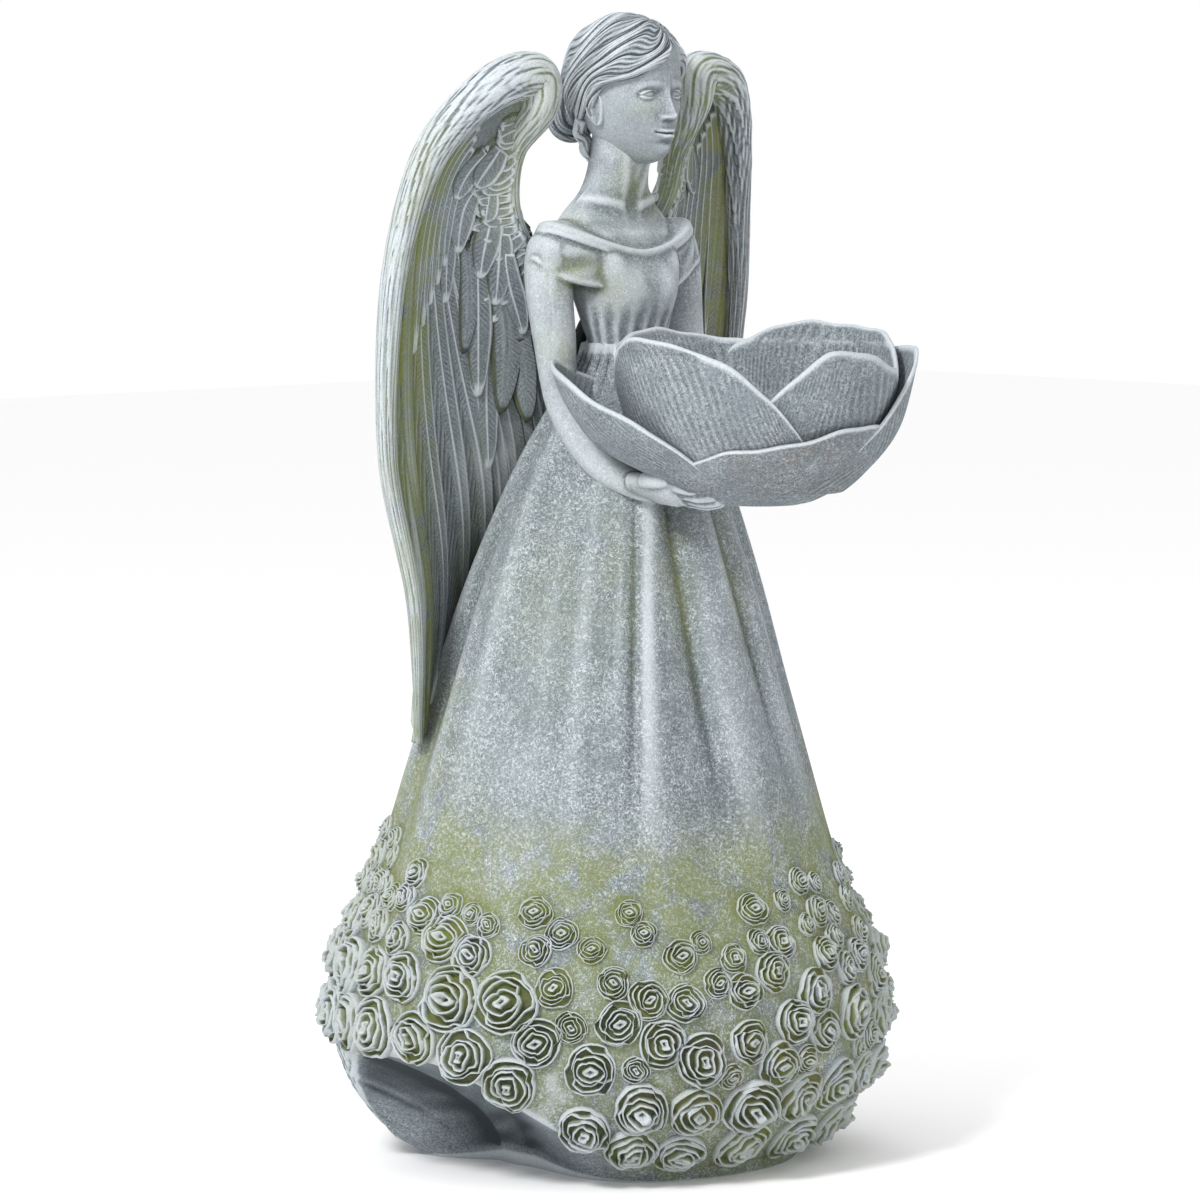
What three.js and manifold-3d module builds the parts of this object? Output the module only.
// A garden angel with folded wings who holds out a bowl of petals for bird seed, cast in one piece.
// Millimetres. +Z is up, the angel faces -Y, and +X is the angel's left.
// The origin is the middle of the flat underside.
import * as THREE from 'three';
import { mergeVertices } from 'three/addons/utils/BufferGeometryUtils.js';
import Module from 'manifold-3d';

const wasm = await Module();
wasm.setup();

// Driving sizes of the casting. Stations of the figure are in thousandths of its height.
const figureHeight = 620;
const bowlReach = 115; // from the figure's axis forward to the bowl's axis
const bowlBottom = 359; // height of the bowl's underside
const bowlRadius = 75;
const bowlDepth = 82;
const bowlWall = 6;
const bowlFloorRadius = 21;
const petalThickness = 8; // at its foot; it thins to half at the rim
const petalLap = 2.5; // how far the outer petals stand off the bowl's wall
const sidePetalReach = 32; // how much further than the bowl the petal by each elbow reaches
const footRadius = 101; // flat underside, all round but under the scoop
const scoopFootRadius = 66;
const hemStrip = 8; // plain strip between the ground and the lowest roses
const scoopHeight = 60; // how far the hem lifts over the scoop on the angel's right
const roseDiameter = 34; // the largest roses, in the lowest row
const roseHeight = 8;
const wingThickness = 7;
const featherRidge = 3;
const bandRadius = 12.5; // rolled leading edge of a wing, at its wrist
const collarBand = 6;
const castColour = 0x8d979b;

const share = figureHeight / 1000;
const TURN = 2 * Math.PI;
const degrees = THREE.MathUtils.degToRad;
const { lerp, clamp, smoothstep } = THREE.MathUtils;

// Curves and tables

function mark(x, y, z) {
  return new THREE.Vector3(x, y, z).multiplyScalar(share);
}

// Reads a table of rows [t, value, value, ...] at t, joining its rows with smooth cubic arcs.
function station(rows, t) {
  const last = rows.length - 1;
  if (t <= rows[0][0]) return rows[0].slice(1);
  if (t >= rows[last][0]) return rows[last].slice(1);
  const i = rows.findIndex((row, k) => k < last && t < rows[k + 1][0]);
  const span = rows[i + 1][0] - rows[i][0];
  const s = (t - rows[i][0]) / span;
  const slope = (j, k) => {
    const before = rows[Math.max(j - 1, 0)];
    const after = rows[Math.min(j + 1, last)];
    return (after[k] - before[k]) / (after[0] - before[0]);
  };
  return rows[i].slice(1).map((value, c) => {
    const k = c + 1;
    const rise = rows[i + 1][k] - value;
    const leave = slope(i, k) * span;
    const arrive = slope(i + 1, k) * span;
    return value + s * (leave + s * (3 * rise - 2 * leave - arrive + s * (leave + arrive - 2 * rise)));
  });
}

function bell(x, middle, width) {
  return Math.exp(-(((x - middle) / width) ** 2));
}

// A number from 0 to 1 that looks random and is the same each time.
function scatter(a, b) {
  const wave = Math.sin(a * 127.1 + b * 311.7) * 43758.5453;
  return wave - Math.floor(wave);
}

// The way from the axis at an angle, counted from the front towards the angel's right.
function heading(turn) {
  return new THREE.Vector3(-Math.sin(turn), -Math.cos(turn), 0);
}

// Closed primitives whose vertices are moved into place

// The positions and faces alone, with vertices closer than the reach made one.
function welded(position, index, reach) {
  const bare = new THREE.BufferGeometry();
  bare.setAttribute('position', position);
  bare.setIndex(index);
  return mergeVertices(bare, reach);
}

// The primitive as a solid, with each vertex moved to where place() puts it.
function shaped(primitive, place) {
  const merged = welded(primitive.getAttribute('position'), primitive.index, 1e-5);
  const position = merged.getAttribute('position');
  const from = new THREE.Vector3();
  for (let i = 0; i < position.count; i += 1) {
    const to = place(from.fromBufferAttribute(position, i));
    position.setXYZ(i, to.x, to.y, to.z);
  }
  const triVerts = new Uint32Array(merged.index.array);
  const solid = asSolid(position.array, triVerts);
  // A place() that mirrors turns the faces inside out.
  return solid.volume() > 0 ? solid : asSolid(position.array, triVerts.reverse());
}

function asSolid(vertProperties, triVerts) {
  return new wasm.Manifold(new wasm.Mesh({ numProp: 3, vertProperties, triVerts }));
}

// A stack of rings. place(turn, up, out): up runs from 0 to 1, out is 0 in a cap's middle, else 1.
function drum(sides, rows, place) {
  const primitive = new THREE.CylinderGeometry(1, 1, 1, sides, rows);
  return shaped(primitive, (p) => place(
    Math.atan2(p.x, p.z), p.y + 0.5, Math.round(Math.hypot(p.x, p.z))));
}

// A thick sheet. place(across, along, face): each from 0 to 1, face is 0 behind and 1 in front.
function slab(columns, rows, place) {
  const primitive = new THREE.BoxGeometry(1, 1, 1, columns, rows, 1);
  return shaped(primitive, (p) => place(p.x + 0.5, p.y + 0.5, Math.round(p.z + 0.5)));
}

// A ball. place(direction) gets a unit vector.
function ball(sides, rows, place) {
  return shaped(new THREE.SphereGeometry(1, sides, rows), place);
}

// A round member along a smooth curve through points, its radius read from a table by the share of
// the way along. wide stretches it along the reference direction.
function limb(points, radii, sides, rows, reference = new THREE.Vector3(1, 0, 0), wide = 1) {
  const curve = new THREE.CatmullRomCurve3(points);
  return drum(sides, rows, (turn, up, out) => {
    const ahead = curve.getTangent(up);
    const lift = new THREE.Vector3().crossVectors(reference, ahead).normalize();
    const side = new THREE.Vector3().crossVectors(ahead, lift).normalize();
    const radius = station(radii, up)[0] * out;
    return curve.getPoint(up)
      .addScaledVector(side, Math.sin(turn) * radius * wide)
      .addScaledVector(lift, Math.cos(turn) * radius);
  });
}

function mirrored(solid) {
  return solid.mirror([1, 0, 0]);
}

function joined(solids) {
  return solids.reduce((whole, piece) => whole.add(piece));
}

// Skirt, its scoop and the roses on its hem

const skirtProfile = [ // height, radius
  [0, 160], [19, 184], [55, 214], [98, 234], [137, 236], [176, 230], [202, 221], [255, 199], [315, 179],
  [402, 152], [489, 126], [558, 102], [619, 78], [661, 57], [694, 40], [712, 35],
];
const skirtLean = [[0, 5], [315, 0], [500, -6], [620, -14], [705, -21]]; // height, forward lean
const skirtTop = 712;
const skirtWidth = 1.04;
const skirtBreadth = 0.98;
const foldDepth = 5;
const scoopFrom = [degrees(28), degrees(84)]; // over these angles the hem lifts
const scoopTo = [degrees(104), degrees(129)]; // and over these it falls again
const roseTopFront = 240; // height where the roses stop at the front
const roseTopSide = 300;

// 1 where the hem is fully lifted, 0 away from the scoop.
function scoop(turn) {
  return smoothstep(turn, ...scoopFrom) * (1 - smoothstep(turn, ...scoopTo));
}

function hemHeight(turn) {
  return hemStrip + scoopHeight * scoop(turn);
}

function fold(turn, high) {
  const gathered = smoothstep(high, 0.2, 0.55) * (1 - 0.6 * smoothstep(high, 0.8, 1));
  const wave = 0.55 * Math.cos(11 * turn + 0.9 * Math.sin(2 * turn) + 0.4)
    + 0.45 * Math.cos(7 * turn + 1.3);
  return foldDepth * gathered * wave;
}

// The skirt's surface at an angle and a height in millimetres, moved out by some distance.
function skirtPoint(turn, height, off = 0) {
  const level = height / share;
  const radius = station(skirtProfile, level)[0] * share + fold(turn, level / skirtTop) + off;
  const lean = station(skirtLean, level)[0] * share;
  const way = heading(turn);
  return new THREE.Vector3(way.x * radius * skirtWidth, way.y * radius * skirtBreadth + lean, height);
}

function skirt() {
  const coveRows = 3;
  const skirtRows = 10;
  const rows = coveRows + skirtRows;
  return drum(40, rows, (turn, up, out) => {
    const row = Math.round(up * rows);
    if (row >= coveRows) {
      const rise = (row - coveRows) / skirtRows;
      const point = skirtPoint(turn, lerp(hemHeight(turn), skirtTop * share, rise ** 0.95));
      return out ? point : mark(0, station(skirtLean, skirtTop)[0], skirtTop);
    }
    if (!out) return new THREE.Vector3(0, 0, 0);
    const rise = row / coveRows;
    const foot = heading(turn).multiplyScalar(lerp(footRadius, scoopFootRadius, scoop(turn)));
    const hem = skirtPoint(turn, hemHeight(turn));
    const cove = foot.lerp(hem, rise ** lerp(1, 1.6, scoop(turn)));
    return cove.setZ(hemHeight(turn) * rise ** lerp(1, 0.75, scoop(turn)));
  });
}

// One rose: a low drum with a rolled rim and a bud in its middle, square to the skirt.
function rose(turn, height, radius) {
  const step = 1;
  const seat = skirtPoint(turn, height);
  const round = skirtPoint(turn + degrees(step), height).sub(skirtPoint(turn - degrees(step), height));
  const rise = skirtPoint(turn, height + step).sub(skirtPoint(turn, height - step));
  round.normalize();
  rise.normalize();
  const out = new THREE.Vector3().crossVectors(rise, round).normalize();
  const tall = roseHeight * radius * 2 / roseDiameter;
  const tilt = scatter(turn, height) * TURN;
  return drum(5, 1, (angle, up, edge) => {
    const reach = edge * radius * lerp(1.16, 0.84, up);
    return seat.clone()
      .addScaledVector(round, Math.cos(angle + tilt) * reach)
      .addScaledVector(rise, Math.sin(angle + tilt) * reach)
      .addScaledVector(out, up ? tall * (edge ? 0.8 : 1.15) : -tall * 0.6);
  });
}

// Rows of roses from the hem up to a line that dips at the front, each row smaller than the last.
function roses() {
  const rows = [[0.14, 1], [0.46, 0.96], [0.79, 0.74]]; // share of the way up, size
  return rows.flatMap(([way, size], row) => {
    const made = [];
    const middle = skirtPoint(0, lerp(hemStrip, roseTopFront * share, way)).length();
    const count = Math.round(TURN * middle / (roseDiameter * size * 1.26));
    for (let i = 0; i < count; i += 1) {
      const turn = TURN * (i + 0.5 * (row % 2) + 0.3 * (scatter(i, row) - 0.5)) / count;
      const angle = turn > Math.PI ? turn - TURN : turn;
      const top = lerp(roseTopSide, roseTopFront, (1 + Math.cos(angle - degrees(20))) / 2) * share;
      const hem = hemHeight(angle) + roseDiameter * 0.1;
      const height = lerp(hem, top, way + 0.04 * (scatter(row, i) - 0.5));
      made.push(rose(angle, height, roseDiameter / 2 * size * lerp(0.88, 1.04, scatter(i, row + 9))));
    }
    return made;
  });
}

// Bodice, neck and the yoke that leaves the shoulders bare

const bodyProfile = [ // height, forward place, half width, half depth
  [680, -20, 38, 32], [706, -21, 36, 29], [727, -18, 41, 32], [753, -14, 48, 36], [782, -9, 54, 35],
  [804, -4, 61, 32], [817, -2, 58, 27], [828, -2, 47, 25], [840, -5, 35, 25], [856, -9, 28, 26],
  [880, -15, 26, 28], [905, -20, 26, 29],
];
const bust = { height: 758, apart: 24, wide: 17, tall: 24, deep: 15 };
const yokeProfile = [ // share of the way up, grown outwards
  [0, 3], [0.12, 0], [0.5, 0], [0.62, 0], [0.66, 3], [0.94, 3], [1, -1],
];

function bodyPoint(turn, level, off = 0) {
  const [forward, wide, deep] = station(bodyProfile, level);
  const way = heading(turn);
  const point = mark(way.x * wide, way.y * deep + forward, level).addScaledVector(way, off);
  const across = Math.abs(point.x / share);
  if (way.y < 0) {
    point.y -= bust.deep * share * bell(level, bust.height, bust.tall) * bell(across, bust.apart, bust.wide);
  }
  return point;
}

function body() {
  const rows = 11;
  const low = bodyProfile[0][0];
  const high = bodyProfile.at(-1)[0];
  return drum(16, rows, (turn, up, out) => {
    const level = lerp(low, high, up);
    return out ? bodyPoint(turn, level) : mark(0, station(bodyProfile, level)[0], level);
  });
}

// The dress over both upper arms, with its rolled collar: low in front, high over the shoulders.
function yoke() {
  const sides = 20;
  const rows = yokeProfile.length - 1;
  const collar = { wide: 80, deep: 34, front: 792, side: 817 };
  const hem = { wide: 95, deep: 34, front: 752, side: 778 };
  return drum(sides, rows, (turn, up, out) => {
    const [part, grown] = yokeProfile[Math.round(up * rows)];
    const side = Math.sin(turn) ** 2;
    const wide = lerp(hem.wide, collar.wide, part);
    const deep = lerp(hem.deep, collar.deep, part);
    const band = part > 0.6 ? (1 - part) * collarBand / 0.34 : null;
    const top = lerp(collar.front, collar.side, side ** 0.8) * share;
    const bottom = lerp(hem.front, hem.side, side) * share;
    const height = band === null ? lerp(bottom, top - collarBand, part / 0.62) : top - band;
    const way = heading(turn);
    if (!out) return new THREE.Vector3(0, -3 * share, up ? top : bottom);
    return new THREE.Vector3(
      way.x * (wide * share + grown), way.y * (deep * share + grown) - 6 * share, height);
  });
}

// Head: skull, face, hair gathered back to a knot at the nape

const headMiddle = mark(0, -21, 933);
const skull = { wide: 38, long: 47, tall: 54, chin: 22 }; // chin: how far forward it lies
const hair = { wide: 47, long: 60, tall: 55 };

function head() {
  return ball(14, 10, (way) => {
    const jaw = smoothstep(-way.y, 0.1, 1);
    return mark(
      way.x * skull.wide * (1 - 0.42 * jaw),
      -way.z * skull.long * (1 - 0.3 * jaw) - skull.chin * jaw,
      way.y * skull.tall - 8 * jaw,
    ).add(headMiddle);
  });
}

function nose() {
  const bridge = mark(0, -64, 932);
  const tip = mark(0, -76, 908);
  const root = mark(0, -64, 901);
  return limb([bridge, tip, root], [[0, 1], [0.6, 3.4], [1, 2.4]], 5, 4);
}

// Hair is a ball turned so that its poles lie at the parting and at the knot, so locks run between.
function hairCap() {
  const tip = new THREE.Quaternion().setFromAxisAngle(new THREE.Vector3(1, 0, 0), degrees(-62));
  return ball(21, 8, (pole) => {
    const lock = Math.cos(7 * Math.atan2(pole.x, pole.z));
    const groove = 1 + 0.035 * lock * (1 - pole.y ** 2);
    const way = pole.clone().applyQuaternion(tip);
    const front = smoothstep(-way.z, 0.15, 0.85) * smoothstep(-way.y, -0.62, 0.1);
    const grow = groove * (1 - 0.28 * front);
    return mark(way.x * hair.wide * grow, way.z * hair.long * grow + 3, way.y * hair.tall * grow + 6)
      .add(headMiddle);
  });
}

function knot() {
  return ball(9, 6, (way) => {
    const twist = 1 + 0.08 * Math.cos(4 * Math.atan2(way.x, way.y) + 3 * way.z);
    return mark(way.x * 22 * twist, way.z * 20 * twist + 68, way.y * 21 * twist - 28).add(headMiddle);
  });
}

// Arms and hands, the right one here, and mirrored for the left

const elbow = mark(-75, -22, 664);
const wrist = new THREE.Vector3(-0.46 * bowlRadius, -bowlReach + 0.74 * bowlRadius, bowlBottom + 13);
const palm = new THREE.Vector3(-0.5 * bowlRadius, -bowlReach + 0.38 * bowlRadius, bowlBottom + 7);
const fingertips = new THREE.Vector3(-0.4 * bowlRadius, -bowlReach + 0.02 * bowlRadius, bowlBottom + 3);

function arm() {
  const shoulder = mark(-68, -3, 808);
  const points = [
    shoulder, mark(-76, -4, 772), mark(-76, -11, 718), elbow,
    elbow.clone().lerp(wrist, 0.5).add(mark(-5, 0, -6)), wrist, palm,
  ];
  const radii = [[0, 9], [0.08, 13], [0.3, 12], [0.5, 10.5], [0.68, 9.5], [0.85, 7], [1, 5]];
  return limb(points, radii, 8, 9);
}

function hand() {
  const spread = new THREE.Vector3(-0.84, -0.1, 0.53).normalize();
  const back = limb([wrist, palm, palm.clone().lerp(fingertips, 0.35)],
    [[0, 6], [0.5, 6.5], [1, 5]], 8, 3, spread, 1.9);
  const fingers = [-1.5, -0.5, 0.5, 1.5].map((place) => {
    const shift = spread.clone().multiplyScalar(place * 5.4);
    const from = palm.clone().lerp(fingertips, 0.15).add(shift);
    const to = fingertips.clone().add(shift).add(new THREE.Vector3(0, Math.abs(place) * 2, 0));
    return limb([from, from.clone().lerp(to, 0.5).add(new THREE.Vector3(0, 0, -1)), to],
      [[0, 3.6], [0.8, 3.2], [1, 1.6]], 4, 2);
  });
  const thumbFrom = wrist.clone().lerp(palm, 0.5).addScaledVector(spread, 9);
  const thumbTo = palm.clone().lerp(fingertips, 0.25).addScaledVector(spread, 13);
  const thumb = limb([thumbFrom, thumbFrom.clone().lerp(thumbTo, 0.5).add(new THREE.Vector3(-2, 0, 0)), thumbTo],
    [[0, 4.4], [0.8, 3.6], [1, 1.8]], 5, 2);
  return joined([back, thumb, ...fingers]);
}

// Bowl: a turned shell with petals lapped round it

const petalFacet = 18; // degrees
const bowlProfile = [ // share of the way up the wall, radius, height
  [0, 0.28, 0], [0.14, 0.4, 0.03], [0.32, 0.59, 0.13], [0.52, 0.79, 0.31], [0.7, 0.92, 0.51],
  [0.85, 0.99, 0.73], [1, 1.05, 1],
];
const outerPetals = [ // from, to and tip are angles; notch, rise are ways up; reach, off are mm outwards
  { from: 74, to: 206, tip: 143, notch: 0.44, rise: 0.98, reach: sidePetalReach, off: petalLap },
  { from: -56, to: 92, tip: -28, notch: 0.46, rise: 0.72, reach: 0, off: petalLap },
  { from: -206, to: -2, tip: -62, notch: 0.5, rise: 1.0, reach: 5, off: petalLap },
];
const innerPetals = [
  { from: 22, to: 154, tip: 92, notch: 0.6, rise: 1.08, reach: 0, off: 0 },
  { from: 126, to: 236, tip: 178, notch: 0.9, rise: 1.08, reach: 0, off: -1 },
  { from: 204, to: 304, tip: 252, notch: 0.9, rise: 1.13, reach: 0, off: -1 },
  { from: -72, to: 60, tip: 4, notch: 0.58, rise: 1.0, reach: 0, off: -petalLap },
];

// The bowl's outside, or its inside where off is minus the wall, at an angle and a way up the wall.
function bowlPoint(turn, up, off = 0) {
  const [radius, height] = station(bowlProfile, Math.min(up, 1));
  const [before, below] = station(bowlProfile, Math.max(Math.min(up, 1) - 0.02, 0));
  const lean = Math.atan2((height - below) * bowlDepth, (radius - before) * bowlRadius + 1e-6);
  const over = Math.max(up - 1, 0);
  const out = radius * bowlRadius + off * Math.sin(lean) + over * 0.5 * bowlRadius;
  return heading(turn).multiplyScalar(out)
    .add(new THREE.Vector3(0, -bowlReach, bowlBottom + (height + over) * bowlDepth - off * Math.cos(lean)));
}

function bowlShell() {
  const wallTop = 0.5;
  const outside = bowlProfile.filter(([up]) => up < wallTop).map(([up]) => up);
  const skin = (off) => outside.concat(wallTop).map((up) => bowlPoint(0, up, off))
    .map((p) => new THREE.Vector2(-p.y - bowlReach, p.z));
  const inner = skin(-bowlWall).filter((p) => p.x > bowlFloorRadius && p.y > bowlBottom + bowlWall);
  const profile = [
    new THREE.Vector2(0, bowlBottom), ...skin(0), ...inner.reverse(),
    new THREE.Vector2(bowlFloorRadius, bowlBottom + bowlWall), new THREE.Vector2(0, bowlBottom + bowlWall),
  ];
  return shaped(new THREE.LatheGeometry(profile, 20),
    (p) => new THREE.Vector3(p.x, -bowlReach + p.z, p.y));
}

// A petal stands on the shell's wall and rises from a notch at each end to its tip.
function petal({ from, to, tip, notch, rise, reach, off }, rows) {
  const base = 0.3;
  const columns = Math.round((to - from) / petalFacet);
  const tipAt = (tip - from) / (to - from);
  return slab(columns, rows, (across, along, face) => {
    const side = across < tipAt ? across / tipAt : (1 - across) / (1 - tipAt);
    const crown = Math.sin(side * Math.PI / 2) ** 0.8;
    const up = lerp(base, lerp(notch, rise, crown), along);
    const flare = reach * crown ** 2 * smoothstep(up, 0.3, 1);
    const thin = petalThickness * lerp(1, 0.5, along);
    const turn = degrees(lerp(from, to, across));
    return bowlPoint(turn, up, off + flare - (face ? 0 : thin));
  });
}

function bowl() {
  return joined([
    bowlShell(),
    ...innerPetals.map((each) => petal(each, 2)),
    ...outerPetals.map((each) => petal(each, 2)),
  ]);
}

// Wings, the right one here, and mirrored for the left

const wingOuter = [ // middle of the rolled edge from the wrist, over the top and down to the tip
  mark(-97, -8, 940), mark(-137, 0, 931), mark(-175, 26, 886), mark(-194, 43, 828), mark(-205, 55, 742),
  mark(-199, 66, 614), mark(-174, 61, 489), mark(-152, 79, 365),
];
const wingInner = [ // from the wrist down the wing's arm to the shoulder, then the trailing edge
  mark(-88, -14, 922), mark(-97, 18, 876), mark(-92, 28, 830), mark(-66, 34, 790), mark(-20, 50, 712),
  mark(-16, 68, 622), mark(-46, 112, 492), mark(-142, 92, 363),
];
const outerEdge = new THREE.CatmullRomCurve3(wingOuter);
const innerEdge = new THREE.CatmullRomCurve3(wingInner);
const wingCup = 13;
const scallop = 0.035; // how much further a feather's middle reaches than its sides, of the wing
const wingTiers = [ // way down the wing, how far the feathers there stand proud
  [0, 3], [0.12, 4.4], [0.24, 4.4], [0.27, 2], [0.4, 2.4], [0.43, 0], [0.6, 1], [0.8, 1], [1, 0],
];

// The wing's middle sheet. down runs from the wrist to the tip, across from trailing to leading edge.
function wingPoint(down, across) {
  const t = clamp(down, 0, 1);
  const cup = wingCup * 4 * across * (1 - across) * Math.sin(Math.PI * clamp(t, 0.02, 0.98)) ** 0.7;
  return innerEdge.getPoint(t).lerp(outerEdge.getPoint(t), across).add(new THREE.Vector3(0, cup, 0));
}

function wingNormal(down, across) {
  const step = 0.02;
  const along = wingPoint(down + step, across).sub(wingPoint(down - step, across));
  const over = wingPoint(down, across + step).sub(wingPoint(down, across - step));
  return new THREE.Vector3().crossVectors(along, over).normalize();
}

// The feathers lie in three tiers, each standing on the next, and their tips are scalloped. Every
// feather is two columns wide with its shaft raised between them.
function wingSheet() {
  const count = 6;
  return slab(2 * count, wingTiers.length - 1, (across, along, face) => {
    const [down, tier] = wingTiers[Math.round(along * (wingTiers.length - 1))];
    const shaft = Math.round(across * 2 * count) % 2;
    const inside = down > 0 && down < 1;
    const reached = down + (inside ? scallop * (shaft - 0.5) : 0);
    const raised = face ? tier + featherRidge * shaft : 0;
    const half = wingThickness / 2;
    return wingPoint(reached, across)
      .addScaledVector(wingNormal(reached, across), face ? half + raised : -half);
  });
}

function wing() {
  const edge = outerEdge.getPoints(9).slice(0, 9);
  const band = limb(edge, [[0, bandRadius * 0.7], [0.08, bandRadius], [0.35, bandRadius * 0.75],
    [0.7, bandRadius * 0.42], [1, bandRadius * 0.2]], 6, 10, new THREE.Vector3(0, 1, 0));
  const upper = [mark(-24, 36, 770), wingInner[3], wingInner[2], wingInner[1], wingInner[0], wingOuter[0]];
  const wingArm = limb(upper, [[0, 6], [0.3, 7.5], [0.6, 8], [0.85, 10], [1, 11.5]], 6, 7);
  return joined([wingSheet(), band, wingArm]);
}

// The whole casting

function casting() {
  const right = joined([arm(), hand(), wing()]);
  return joined([
    skirt(), ...roses(), body(), yoke(), head(), nose(), hairCap(), knot(), right, mirrored(right), bowl(),
  ]);
}

// The triangles without those that line a sealed hollow, so that the casting is solid there.
function withoutHollows(vertProperties, triVerts) {
  const leader = Uint32Array.from({ length: vertProperties.length / 3 }, (_, i) => i);
  const lead = (i) => {
    let top = i;
    while (leader[top] !== top) top = leader[top];
    leader[i] = top;
    return top;
  };
  for (let i = 0; i < triVerts.length; i += 3) {
    leader[lead(triVerts[i + 1])] = lead(triVerts[i]);
    leader[lead(triVerts[i + 2])] = lead(triVerts[i]);
  }
  const corner = (i) => new THREE.Vector3().fromArray(vertProperties, 3 * triVerts[i]);
  const volume = new Map();
  for (let i = 0; i < triVerts.length; i += 3) {
    const shell = lead(triVerts[i]);
    const slice = corner(i).dot(corner(i + 1).cross(corner(i + 2)));
    volume.set(shell, (volume.get(shell) ?? 0) + slice);
  }
  return triVerts.filter((_, i) => volume.get(lead(triVerts[i])) > 0);
}

function asMesh(name, solid) {
  const rough = solid.getMesh();
  const merged = welded(
    new THREE.BufferAttribute(rough.vertProperties, 3), new THREE.BufferAttribute(rough.triVerts, 1), 1e-3);
  const clean = asSolid(merged.getAttribute('position').array, new Uint32Array(merged.index.array));
  const { vertProperties, triVerts } = clean.getMesh();
  const geometry = new THREE.BufferGeometry();
  geometry.setAttribute('position', new THREE.BufferAttribute(vertProperties, 3));
  geometry.setIndex(new THREE.BufferAttribute(withoutHollows(vertProperties, triVerts), 1));
  geometry.computeVertexNormals();
  const finish = new THREE.MeshStandardMaterial({ color: castColour, roughness: 0.9, metalness: 0 });
  const mesh = new THREE.Mesh(geometry, finish);
  mesh.name = name;
  return mesh;
}

const feeder = new THREE.Group();
feeder.add(asMesh('angel_bird_feeder', casting()));

export default feeder;
